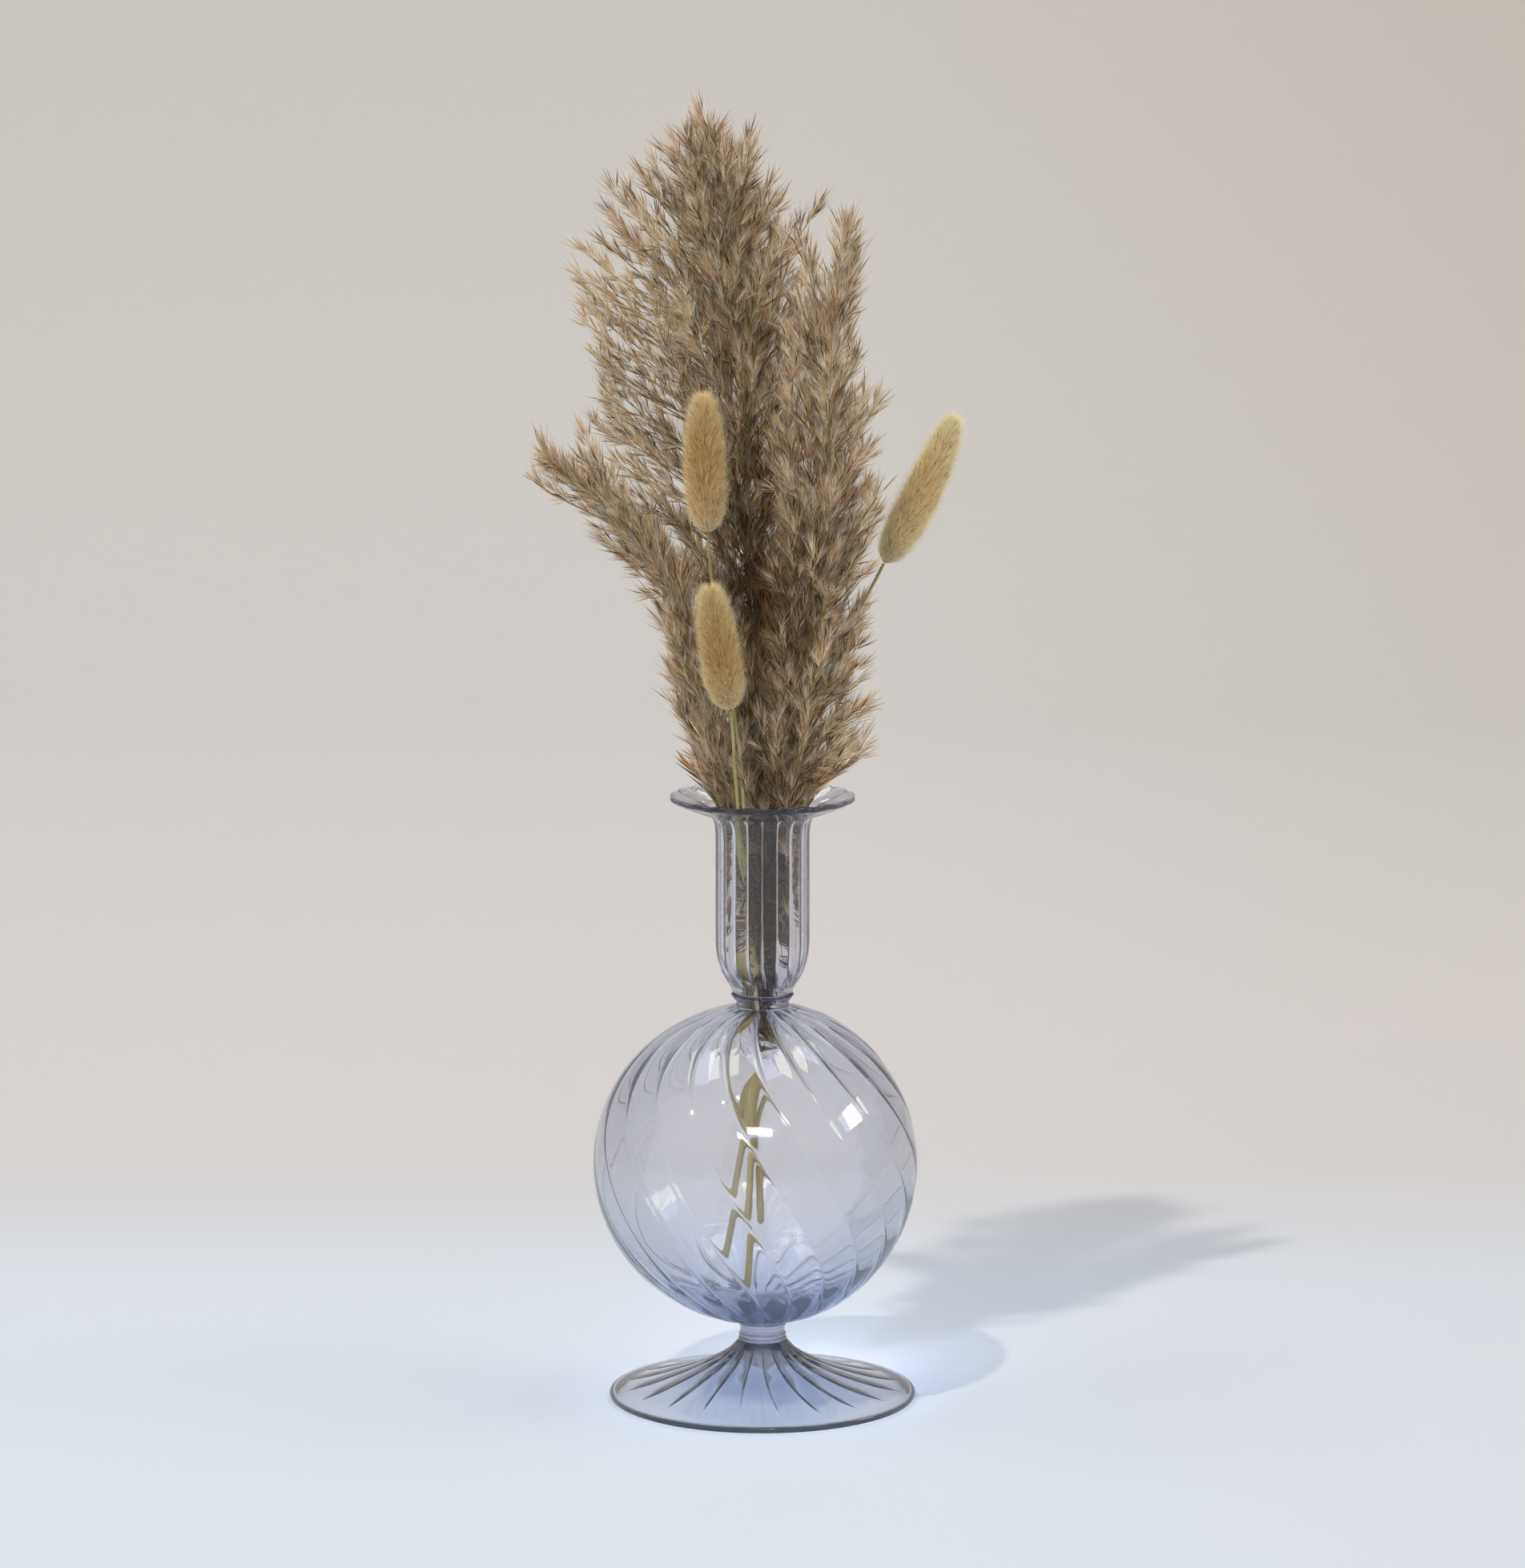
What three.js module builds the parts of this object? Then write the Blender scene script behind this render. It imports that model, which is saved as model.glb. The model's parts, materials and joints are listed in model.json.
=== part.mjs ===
// Glass bud vase, blown in ribbed glass, dressed with dried reed plumes and bunny tails.
// Millimetres, +Z up. The origin is the centre of the foot, on the surface it stands on.
// The glass is five gathers fused hot: foot, lower stem, ball, waist ring and neck cup.
// Each dried stem stands loose in the neck and lifts out along its own straight line.
import * as THREE from 'three';

// ---- glass: driving dimensions -------------------------------------------------------------
const FUSE_GAP = 0.3;          // kept between two fused gathers
const VASE_HEIGHT = 180;
const FOOT_R = 45.1;
const FOOT_TOP_Z = 17.2;
const FOOT_WALL = 1.9;
const LOWER_STEM_R = 6.8;
const BALL_R = 47.5;
const BALL_CENTRE_Z = 70.3;
const BALL_BOTTOM_Z = 22.9;
const BALL_TOP_Z = 117.3;
const BALL_LEAN_X = -2.1;      // the blown ball sits a little off the axis
const BALL_WALL = 1.7;
const BALL_BASE_WALL = 4.6;    // the glass pools at the bottom of the ball
const WAIST_TOP_Z = 121.3;
const WAIST_R = 7.95;
const WAIST_BORE_R = 6.2;
const CUP_R = 13.75;
const CUP_BORE_R = 11.9;
const CUP_FLOOR_Z = 136.5;     // the straight part of the cup starts here
const CUP_NECK_Z = 168.5;      // and starts to flare here
const LIP_R = 27.1;

const RIBS = 20;               // optic ribs of the foot, the ball and the cup
const RIB_DEPTH = 0.3;         // half the height of a rib
const TWIST_PER_MM = 0.75 * Math.PI / 180;
const TWIST_START_Z = 131;     // the ribs are straight above this height
const FOOT_TWIST = 0.22;       // radians, from the foot's top to its edge

// ---- dried stems: driving dimensions -------------------------------------------------------
const LIP_Z = VASE_HEIGHT;
const WAIST_Z = 120;           // every stem's line is given by its places here and at the lip
const REED_R = 1.0;
const TAIL_STEM_R = 0.55;
const STEM_SIDES = 8;
const PLUME_SIDES = 14;

// ---- materials -----------------------------------------------------------------------------
function glass(name, color, roughness = 0.04) {
  return new THREE.MeshStandardMaterial({
    name, color, roughness, metalness: 0, transparent: true, opacity: 0.42, side: THREE.DoubleSide,
  });
}

function dried(name, color, roughness = 0.95) {
  return new THREE.MeshStandardMaterial({ name, color, roughness, metalness: 0 });
}

// ---- helpers -------------------------------------------------------------------------------
const vase = new THREE.Group();

function addMesh(name, geometry, material) {
  const mesh = new THREE.Mesh(geometry, material);
  mesh.name = name;
  vase.add(mesh);
  return mesh;
}

function point(r, z) {
  return new THREE.Vector2(r, z);
}

// Points along an arc of a sphere's outline, from one height to another.
function sphereOutline(radius, centreZ, fromZ, toZ, steps) {
  const start = Math.asin((fromZ - centreZ) / radius);
  const end = Math.asin((toZ - centreZ) / radius);
  return Array.from({ length: steps + 1 }, (_, i) => {
    const angle = start + (end - start) * i / steps;
    return point(radius * Math.cos(angle), centreZ + radius * Math.sin(angle));
  });
}

function moveVertices(geometry, move) {
  const position = geometry.attributes.position;
  const v = new THREE.Vector3();
  for (let i = 0; i < position.count; i++) {
    v.fromBufferAttribute(position, i);
    move(v);
    position.setXYZ(i, v.x, v.y, v.z);
  }
  geometry.computeVertexNormals();
  return geometry;
}

// A turned glass body: ribs stand out by ribDepth(r, z), turned about Z by twist(r, z).
function blownGlass(profile, ribs, ribDepth, twist, leanX = () => 0) {
  const geometry = new THREE.LatheGeometry(profile, 2 * ribs);
  geometry.rotateX(Math.PI / 2);
  return moveVertices(geometry, (v) => {
    const r = Math.hypot(v.x, v.y);
    const angle = Math.atan2(v.y, v.x);
    const ribbed = r + ribDepth(r, v.z) * Math.cos(ribs * angle);
    const turned = angle + twist(r, v.z);
    v.x = ribbed * Math.cos(turned) + leanX(v.z);
    v.y = ribbed * Math.sin(turned);
  });
}

// Going down, the ribs turn towards +X at the front, which is anticlockwise from above.
function bodyTwist(r, z) {
  return Math.max(0, TWIST_START_Z - z) * TWIST_PER_MM;
}

// ---- foot: a shallow ribbed trumpet, hollow beneath, with a flat ring to stand on ----------
function makeFoot() {
  const top = [
    point(FOOT_R - 1.4, 0), point(FOOT_R - 0.2, 0.45), point(FOOT_R, 1.2), point(FOOT_R - 1.2, 2.1),
    point(40, 3.0), point(34, 4.5), point(28, 6.2), point(22, 8.2), point(17, 10.2),
    point(13, 12.2), point(10, 14.2), point(8.2, 16.2), point(7.1, FOOT_TOP_Z),
  ];
  const hollow = [point(0, 15.2), point(4.5, 14.0), point(7.5, 12.0), point(11, 10.2), point(15, 8.8)];
  for (const [r, z] of [[22, 8.2], [28, 6.2], [34, 4.5], [40, 3.0]]) {
    hollow.push(point(r - 0.6, z - FOOT_WALL));
  }
  const ring = [point(FOOT_R - 2.9, 0)];
  const profile = [...hollow, ...ring, ...top, point(0, FOOT_TOP_Z)];
  const onTop = (r, z) => r > 8.5 && r < 42 && z > 2.9;
  const ribDepth = (r, z) => (onTop(r, z) ? RIB_DEPTH * Math.min(1, (42 - r) / 20) : 0);
  const twist = (r) => FOOT_TWIST * Math.max(0, r - 8) / FOOT_R;
  return blownGlass(profile, RIBS, ribDepth, twist);
}

// ---- lower stem: a short solid column with turned rings -------------------------------------
function makeLowerStem() {
  const low = FOOT_TOP_Z + FUSE_GAP;
  const high = BALL_BOTTOM_Z - FUSE_GAP;
  const profile = [
    point(0, low), point(LOWER_STEM_R + 0.3, low), point(LOWER_STEM_R + 0.25, low + 0.7),
    point(LOWER_STEM_R - 0.2, low + 1.1), point(LOWER_STEM_R + 0.1, low + 1.7),
    point(LOWER_STEM_R - 0.25, low + 2.6), point(LOWER_STEM_R - 0.15, high - 1.2),
    point(LOWER_STEM_R + 0.2, high - 0.6), point(LOWER_STEM_R, high), point(0, high),
  ];
  return blownGlass(profile, RIBS, () => 0, bodyTwist);
}

// ---- ball: a thin blown sphere, open at the top, thick at the bottom ------------------------
function ballLean(z) {
  const t = (z - BALL_BOTTOM_Z) / (BALL_TOP_Z - BALL_BOTTOM_Z);
  return BALL_LEAN_X * (1 - (2 * Math.min(1, Math.max(0, t)) - 1) ** 4);
}

function makeBall() {
  const outerLowZ = BALL_BOTTOM_Z + 0.6;
  const outer = sphereOutline(BALL_R, BALL_CENTRE_Z, outerLowZ, BALL_TOP_Z - 0.25, 18);
  const innerR = BALL_R - BALL_WALL;
  const innerHighZ = BALL_CENTRE_Z + Math.sqrt(innerR ** 2 - WAIST_BORE_R ** 2);
  const inner = sphereOutline(innerR, BALL_CENTRE_Z, innerHighZ, BALL_CENTRE_Z - innerR + 0.001, 16);
  const poolSquash = (BALL_R - BALL_BASE_WALL) / innerR;
  for (const p of inner) {
    if (p.y < BALL_CENTRE_Z) p.y = BALL_CENTRE_Z + (p.y - BALL_CENTRE_Z) * poolSquash;
  }
  inner[inner.length - 1].x = 0;
  const profile = [
    point(0, BALL_BOTTOM_Z), point(LOWER_STEM_R - 0.4, BALL_BOTTOM_Z), ...outer,
    point(WAIST_R, BALL_TOP_Z), point(WAIST_BORE_R, BALL_TOP_Z), ...inner,
  ];
  const isOuter = (r, z) => Math.hypot(r, z - BALL_CENTRE_Z) > BALL_R - 0.3;
  const ribDepth = (r, z) => (isOuter(r, z) && r > 9 ? RIB_DEPTH * Math.min(1, (r - 9) / 12) : 0);
  return blownGlass(profile, RIBS, ribDepth, bodyTwist, ballLean);
}

// ---- waist ring: a clear collar with a darker trail wound round its top ---------------------
function makeWaistRing() {
  const low = BALL_TOP_Z + FUSE_GAP;
  const profile = [
    point(WAIST_BORE_R, low), point(WAIST_R, low), point(WAIST_R - 0.15, low + 1.0),
    point(WAIST_R + 0.05, low + 2.0), point(WAIST_R + 0.5, low + 2.3),
    point(WAIST_R + 0.8, low + 3.0), point(WAIST_R + 0.75, WAIST_TOP_Z),
    point(WAIST_BORE_R, WAIST_TOP_Z), point(WAIST_BORE_R, low),
  ];
  return blownGlass(profile, RIBS, () => 0, bodyTwist);
}

// ---- neck cup: a ribbed cup that tapers to the waist and flares to a wide lip ---------------
function makeCup() {
  const low = WAIST_TOP_Z + FUSE_GAP;
  const outside = [
    point(8.7, low), point(9.4, 123.2), point(10.6, 125.2), point(12.2, 128.2), point(13.2, 131.4),
    point(CUP_R - 0.1, CUP_FLOOR_Z - 2.4), point(CUP_R, CUP_FLOOR_Z), point(CUP_R, CUP_NECK_Z),
    point(CUP_R + 0.4, 171.8), point(CUP_R + 1.3, 173.4), point(17.0, 174.5), point(22.0, 176.3),
    point(LIP_R - 1.6, 177.7), point(LIP_R - 0.3, 178.2), point(LIP_R, 179.2),
  ];
  const inside = [
    point(LIP_R - 0.9, VASE_HEIGHT), point(LIP_R - 2.2, 179.4), point(20.5, 177.4),
    point(15.4, 176.2), point(13.0, 174.6), point(CUP_BORE_R, 171.4),
    point(CUP_BORE_R, CUP_FLOOR_Z), point(CUP_BORE_R - 0.5, 132.6), point(10.2, 129.0),
    point(8.0, 125.6), point(WAIST_BORE_R, 123.0), point(WAIST_BORE_R, low),
  ];
  const profile = [...outside, ...inside, outside[0].clone()];
  const onWall = (r, z) => r > CUP_BORE_R + 0.8 && z > 128 && z < 172;
  const ribDepth = (r, z) => (onWall(r, z) ? RIB_DEPTH : 0);
  return blownGlass(profile, RIBS, ribDepth, bodyTwist);
}

// ---- dried stems ----------------------------------------------------------------------------
// The straight line that a stem follows through the waist and the lip, as a place at height z.
function stemLine(stem, z) {
  const t = (z - WAIST_Z) / (LIP_Z - WAIST_Z);
  return new THREE.Vector3(
    THREE.MathUtils.lerp(stem.waist[0], stem.lip[0], t),
    THREE.MathUtils.lerp(stem.waist[1], stem.lip[1], t),
    z,
  );
}

// A round tube along a curve, closed at both ends.
function tube(curve, radius, steps) {
  const section = new THREE.Shape();
  for (let i = 0; i < STEM_SIDES; i++) {
    const angle = 2 * Math.PI * i / STEM_SIDES;
    const x = radius * Math.cos(angle);
    const y = radius * Math.sin(angle);
    if (i === 0) section.moveTo(x, y);
    else section.lineTo(x, y);
  }
  section.closePath();
  return new THREE.ExtrudeGeometry(section, { steps, extrudePath: curve, bevelEnabled: false });
}

// A soft closed solid threaded on level sections [z, x, y, half width, half depth].
function softBody(sections) {
  const rows = sections.length;
  const profile = [point(0, 0)];
  for (let i = 0; i < rows; i++) profile.push(point(1, i));
  profile.push(point(0, rows - 1));
  const geometry = new THREE.LatheGeometry(profile, PLUME_SIDES);
  geometry.rotateX(Math.PI / 2);
  return moveVertices(geometry, (v) => {
    const [z, x, y, halfWidth, halfDepth] = sections[Math.round(v.z)];
    v.set(x + v.x * halfWidth, y + v.y * halfDepth, z);
  });
}

// A bunny tail's egg-shaped head along a bent axis from its base to its tip.
function tailHead(base, tip, radius, bow) {
  const middle = base.clone().lerp(tip, 0.5).add(bow);
  const axis = new THREE.QuadraticBezierCurve3(base, middle, tip);
  const fullness = [0.42, 0.82, 0.98, 1.0, 0.9, 0.68, 0.32];
  const profile = [point(0, 0), ...fullness.map((f, i) => point(f, i + 0.3)), point(0, 6.8)];
  const geometry = new THREE.LatheGeometry(profile, PLUME_SIDES);
  geometry.rotateX(Math.PI / 2);
  const up = new THREE.Vector3(0, 0, 1);
  return moveVertices(geometry, (v) => {
    const t = v.z / 6.8;
    const side = new THREE.Vector3(v.x, v.y, 0).multiplyScalar(radius);
    side.applyQuaternion(new THREE.Quaternion().setFromUnitVectors(up, axis.getTangent(t)));
    v.copy(axis.getPoint(t)).add(side);
  });
}

// Three reeds: each has a straight culm and a plume that starts inside the neck cup.
const reeds = [
  {
    name: 'reed_tall', waist: [-3.3, 2.7], lip: [-2.8, 5.5], endZ: 30,
    plume: [
      [188, -3.5, 7.6, 6, 3.4], [205, -5, 13, 11, 6], [230, -6, 19, 15, 9], [262, -9, 22, 18, 12],
      [290, -14, 23, 23, 14], [315, -19, 23, 27, 14], [338, -17, 22, 26, 13.5],
      [358, -13, 19, 17, 11], [374, -14, 17, 9, 6], [383, -16, 16, 2, 2],
    ],
  },
  {
    name: 'reed_right', waist: [-0.6, 4.9], lip: [6.8, 1.2], endZ: 37,
    plume: [
      [188, 9, -1, 8, 3.6], [205, 12, -3.5, 12, 6], [230, 14, -5, 15, 8], [262, 17, -6, 16, 9],
      [290, 16, -7, 15, 10], [315, 13, -7, 12, 9], [338, 18, -7, 7, 6], [355, 23.5, -7, 2, 2],
    ],
  },
  {
    name: 'reed_left', waist: [-4.8, -1.3], lip: [-8.8, -1.3], endZ: 52,
    plume: [
      [188, -11.5, 0.2, 4.6, 3], [205, -16, 1.6, 7, 3.6], [228, -21, 2.2, 9, 4],
      [246, -27, 2.4, 11, 4.4], [262, -37, 2.4, 11, 4.6], [274, -47, 2.4, 9, 4.2],
      [284.5, -55.4, 2.4, 3.9, 2.4],
    ],
  },
];
const ROOT_FROM_Z = 134;       // where a reed's plume starts, low in the neck cup
const ROOT_R = [[ROOT_FROM_Z, 1.1], [148, 1.7], [166, 2.2], [LIP_Z, 2.6]];

function addReed(reed, culmMaterial, plumeMaterial) {
  const culm = new THREE.LineCurve3(stemLine(reed, reed.endZ), stemLine(reed, ROOT_FROM_Z - FUSE_GAP));
  addMesh(`${reed.name}_culm`, tube(culm, REED_R, 1), culmMaterial);
  const root = ROOT_R.map(([z, radius]) => {
    const place = stemLine(reed, z);
    return [z, place.x, place.y, radius, radius];
  });
  addMesh(`${reed.name}_plume`, softBody([...root, ...reed.plume]), plumeMaterial);
}

// Three bunny tails: thin stems, straight up to the lip and then bending to the head.
const tails = [
  {
    name: 'bunny_tail_low', waist: [-2.4, 0.2], lip: [-7.3, -8.4], endZ: 103,
    base: [-9.3, -14.8, 207], tip: [-14.8, -21.4, 242], radius: 6.5, bow: [-0.6, 0, 0],
  },
  {
    name: 'bunny_tail_middle', waist: [-1.6, -3.9], lip: [-5.6, -6.9], endZ: 90,
    base: [-15.7, -9.5, 257.8], tip: [-17.1, -10.1, 296], radius: 6.2, bow: [-0.4, 0, 0],
  },
  {
    name: 'bunny_tail_right', waist: [2.4, 4.0], lip: [8.2, 6.6], endZ: 70,
    base: [35.5, 14, 246.1], tip: [55.4, 17, 286.8], radius: 5.3, bow: [1.6, 0, -0.8],
  },
];
const BEND_FROM_Z = LIP_Z + 6; // a tail's stem is straight up to here

function addTail(tail, stemMaterial, headMaterial) {
  const base = new THREE.Vector3(...tail.base);
  const tip = new THREE.Vector3(...tail.tip);
  const headAxis = tip.clone().sub(base).normalize();
  const end = base.clone().addScaledVector(headAxis, -FUSE_GAP);
  const start = stemLine(tail, tail.endZ);
  const leave = stemLine(tail, BEND_FROM_Z);
  const reach = leave.distanceTo(end) / 3;
  const rise = leave.clone().sub(start).normalize();
  const stem = new THREE.CurvePath();
  stem.add(new THREE.LineCurve3(start, leave));
  stem.add(new THREE.CubicBezierCurve3(
    leave, leave.clone().addScaledVector(rise, reach), end.clone().addScaledVector(headAxis, -reach), end,
  ));
  addMesh(`${tail.name}_stem`, tube(stem, TAIL_STEM_R, 14), stemMaterial);
  const bow = new THREE.Vector3(...tail.bow);
  addMesh(`${tail.name}_head`, tailHead(base, tip, tail.radius, bow), headMaterial);
}

// ---- assembly -------------------------------------------------------------------------------
addMesh('foot', makeFoot(), glass('foot', 0xa9b4cf));
addMesh('lower_stem', makeLowerStem(), glass('lower_stem', 0x8f97b8));
addMesh('ball', makeBall(), glass('ball', 0xb4bfd6));
addMesh('waist_ring', makeWaistRing(), glass('waist_ring', 0x7f86aa));
addMesh('neck_cup', makeCup(), glass('neck_cup', 0xa7adc6));

for (const reed of reeds) {
  addReed(reed, dried('reed_culm', 0x8e8a55, 0.6), dried('reed_plume', 0x8d7b66));
}
for (const tail of tails) {
  addTail(tail, dried('tail_stem', 0xa59a62, 0.6), dried('tail_head', 0xd8bf84));
}

export default vase;
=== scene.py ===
"""Looks of the glass bud vase with its dried reeds and bunny tails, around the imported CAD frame.

Metres, +Z up, the origin at the centre of the foot. Every piece rides a CAD body. Outlines and
routes are written in millimetres and scaled by MM.
"""
import json
import math

import bpy
import numpy as np
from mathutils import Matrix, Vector


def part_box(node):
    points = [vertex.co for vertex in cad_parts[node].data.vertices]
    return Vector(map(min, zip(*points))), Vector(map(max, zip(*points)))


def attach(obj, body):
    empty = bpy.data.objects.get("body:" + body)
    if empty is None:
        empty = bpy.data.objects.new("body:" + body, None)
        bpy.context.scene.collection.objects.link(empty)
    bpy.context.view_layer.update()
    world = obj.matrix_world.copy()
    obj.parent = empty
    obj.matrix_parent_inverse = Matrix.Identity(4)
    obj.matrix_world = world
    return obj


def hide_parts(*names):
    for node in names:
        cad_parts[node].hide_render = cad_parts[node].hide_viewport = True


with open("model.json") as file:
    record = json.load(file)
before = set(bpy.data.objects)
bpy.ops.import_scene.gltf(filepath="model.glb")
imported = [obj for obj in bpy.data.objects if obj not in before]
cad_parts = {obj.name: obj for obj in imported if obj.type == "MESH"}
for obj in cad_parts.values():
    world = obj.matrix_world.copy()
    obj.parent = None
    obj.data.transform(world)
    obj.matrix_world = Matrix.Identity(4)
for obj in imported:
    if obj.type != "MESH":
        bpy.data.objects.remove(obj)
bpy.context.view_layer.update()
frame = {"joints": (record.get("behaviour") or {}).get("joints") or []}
MM = 0.001
TURN = 2 * math.pi
rng = np.random.default_rng(320)

# ---- sizes read from the frame ---------------------------------------------------------------
FOOT_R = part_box("foot")[1][0]
COLUMN_LOW, COLUMN_HIGH = (corner[2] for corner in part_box("lower_stem"))
BALL_LOW, BALL_HIGH = (corner[2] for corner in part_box("ball"))
RING_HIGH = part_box("waist_ring")[1][2]
LIP_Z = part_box("neck_cup")[1][2]
SLIDES = {joint["child"]: Vector(joint["axis"]) for joint in frame["joints"]}

# ---- glass -----------------------------------------------------------------------------------
SEAM = 0.1 * MM                  # what is left open between two fused gathers
RIBS = 20
RIB_STEPS = 16                   # columns of vertices across one rib
GROOVE = 0.03                    # how narrow the groove between two ribs is, as a share of a rib
GROOVE_MEAN, LOBE_MEAN = 0.93, 0.64  # of the two rib waves, so that ribs leave the wall its thickness
TWIST = math.radians(0.75) / MM  # of the ribs: 0.75 degrees for each millimetre of height
TWIST_FROM_Z = 131 * MM          # the ribs are straight above this height
GLASS_IOR = 1.5
FILM_IOR = 1.58                  # of the lustre on the ball
FILM_NM = 300
STRAIGHT = 0.08                  # share of the light that goes straight on through a glass face
SHADOW_TINT = (0.77, 0.80, 0.86)  # what one glass face lets through to what it shades

# ---- dried grasses ---------------------------------------------------------------------------
STRANDS = 4                      # side branches that hang through the waist into the ball, on each reed
NECK_BOUGHS = 44                 # short side branches that fill the cup, on each reed
GOLDEN_ANGLE = 2.39996
TWIG_SPACING = 2.3 * MM
SPIKELET_SPACING = 3.3 * MM
HUSKS = 6                        # in each spikelet
SILKS = 34                       # silky hairs on each spikelet
SILK_WIDTH = 0.09 * MM
CULM_R = 1.0 * MM
CULM_NODES = (58, 112, 158)      # heights, mm, at which a culm swells
FUR_HAIRS = 22000                # on each bunny tail
HALO_HAIRS = 6000
SPECKS = 320                     # short brown husks in its fur


# ============================================================================ node materials
def new_material(name):
    material = bpy.data.materials.new(name)
    material.use_nodes = True
    nodes = material.node_tree.nodes
    links = material.node_tree.links
    nodes.clear()
    output = nodes.new("ShaderNodeOutputMaterial")
    shader = nodes.new("ShaderNodeBsdfPrincipled")
    links.new(shader.outputs[0], output.inputs["Surface"])
    return material, nodes, links, shader, output


def noise_node(nodes, links, scale, detail=4.0, stretch=(1, 1, 1)):
    """Noise on object coordinates, stretched along an axis."""
    place = nodes.new("ShaderNodeTexCoord")
    mapping = nodes.new("ShaderNodeMapping")
    mapping.inputs["Scale"].default_value = stretch
    noise = nodes.new("ShaderNodeTexNoise")
    noise.inputs["Scale"].default_value = scale
    noise.inputs["Detail"].default_value = detail
    links.new(place.outputs["Object"], mapping.inputs["Vector"])
    links.new(mapping.outputs[0], noise.inputs["Vector"])
    return noise


def ramp_node(nodes, links, source, stops):
    ramp = nodes.new("ShaderNodeValToRGB")
    elements = ramp.color_ramp.elements
    while len(elements) < len(stops):
        elements.new(0.5)
    for element, (place, color) in zip(elements, stops):
        element.position = place
        element.color = (*color, 1)
    links.new(source, ramp.inputs["Fac"])
    return ramp


def range_node(nodes, links, source, **limits):
    """A map range node; limits are its inputs by name, such as To_Min."""
    node = nodes.new("ShaderNodeMapRange")
    for limit, value in limits.items():
        node.inputs[limit.replace("_", " ")].default_value = value
    links.new(source, node.inputs["Value"])
    return node


def bump_node(nodes, links, source, shader, strength, distance):
    bump = nodes.new("ShaderNodeBump")
    bump.inputs["Strength"].default_value = strength
    bump.inputs["Distance"].default_value = distance
    links.new(source, bump.inputs["Height"])
    links.new(bump.outputs[0], shader.inputs["Normal"])


def glass_material(name, tint, density, film=0):
    """Clear, faintly uneven glass, tinted through its thickness; lamps shine through it.

    density: how fast the tint builds up, per metre; film: thickness of a lustre film, nanometres.
    """
    material, nodes, links, shader, output = new_material(name)
    shader.inputs["Base Color"].default_value = (1, 1, 1, 1)
    shader.inputs["Roughness"].default_value = 0.0
    shader.inputs["IOR"].default_value = GLASS_IOR
    shader.inputs["Transmission Weight"].default_value = 1.0
    shader.inputs["Thin Film Thickness"].default_value = film
    shader.inputs["Thin Film IOR"].default_value = FILM_IOR
    wobble = noise_node(nodes, links, 38, 2)
    bump_node(nodes, links, wobble.outputs["Fac"], shader, 0.1, 0.3 * MM)
    clear = nodes.new("ShaderNodeBsdfTransparent")
    seen = nodes.new("ShaderNodeMixShader")
    seen.inputs[0].default_value = STRAIGHT
    links.new(shader.outputs[0], seen.inputs[1])
    links.new(clear.outputs[0], seen.inputs[2])
    path = nodes.new("ShaderNodeLightPath")
    shade = nodes.new("ShaderNodeBsdfTransparent")
    shade.inputs[0].default_value = (*SHADOW_TINT, 1)
    mix = nodes.new("ShaderNodeMixShader")
    links.new(path.outputs["Is Shadow Ray"], mix.inputs[0])
    links.new(seen.outputs[0], mix.inputs[1])
    links.new(shade.outputs[0], mix.inputs[2])
    links.new(mix.outputs[0], output.inputs["Surface"])
    volume = nodes.new("ShaderNodeVolumeAbsorption")
    volume.inputs["Color"].default_value = (*tint, 1)
    volume.inputs["Density"].default_value = density
    links.new(volume.outputs[0], output.inputs["Volume"])
    return material


def tone(red, green, blue):
    """A colour as a screen shows it, 0 to 255, for a node's socket."""
    return tuple((c / 255) ** 2.2 for c in (red, green, blue))


def fibre_material(name, color, sheen=0.0):
    """One shade of dry fibre, with a fine grain in its gloss and relief."""
    material, nodes, links, shader, _ = new_material(name)
    shader.inputs["Base Color"].default_value = (*tone(*color), 1)
    shader.inputs["Sheen Weight"].default_value = sheen
    shader.inputs["Sheen Roughness"].default_value = 0.4
    shader.inputs["Specular IOR Level"].default_value = 0.3
    grain = noise_node(nodes, links, 700, 3, (1, 1, 0.25))
    gloss = range_node(nodes, links, grain.outputs["Fac"], To_Min=0.45, To_Max=0.85)
    links.new(gloss.outputs[0], shader.inputs["Roughness"])
    bump_node(nodes, links, grain.outputs["Fac"], shader, 0.4, 0.1 * MM)
    return material


def stem_material(name, dark, middle, pale, streak=260):
    """A dry stem: streaks along its length, between three straw and olive tones."""
    material, nodes, links, shader, _ = new_material(name)
    streaks = noise_node(nodes, links, streak, 5, (1, 1, 0.06))
    stops = [(0.3, tone(*dark)), (0.5, tone(*middle)), (0.7, tone(*pale))]
    ramp = ramp_node(nodes, links, streaks.outputs["Fac"], stops)
    links.new(ramp.outputs[0], shader.inputs["Base Color"])
    shader.inputs["Roughness"].default_value = 0.5
    bump_node(nodes, links, streaks.outputs["Fac"], shader, 0.5, 0.15 * MM)
    return material


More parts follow.
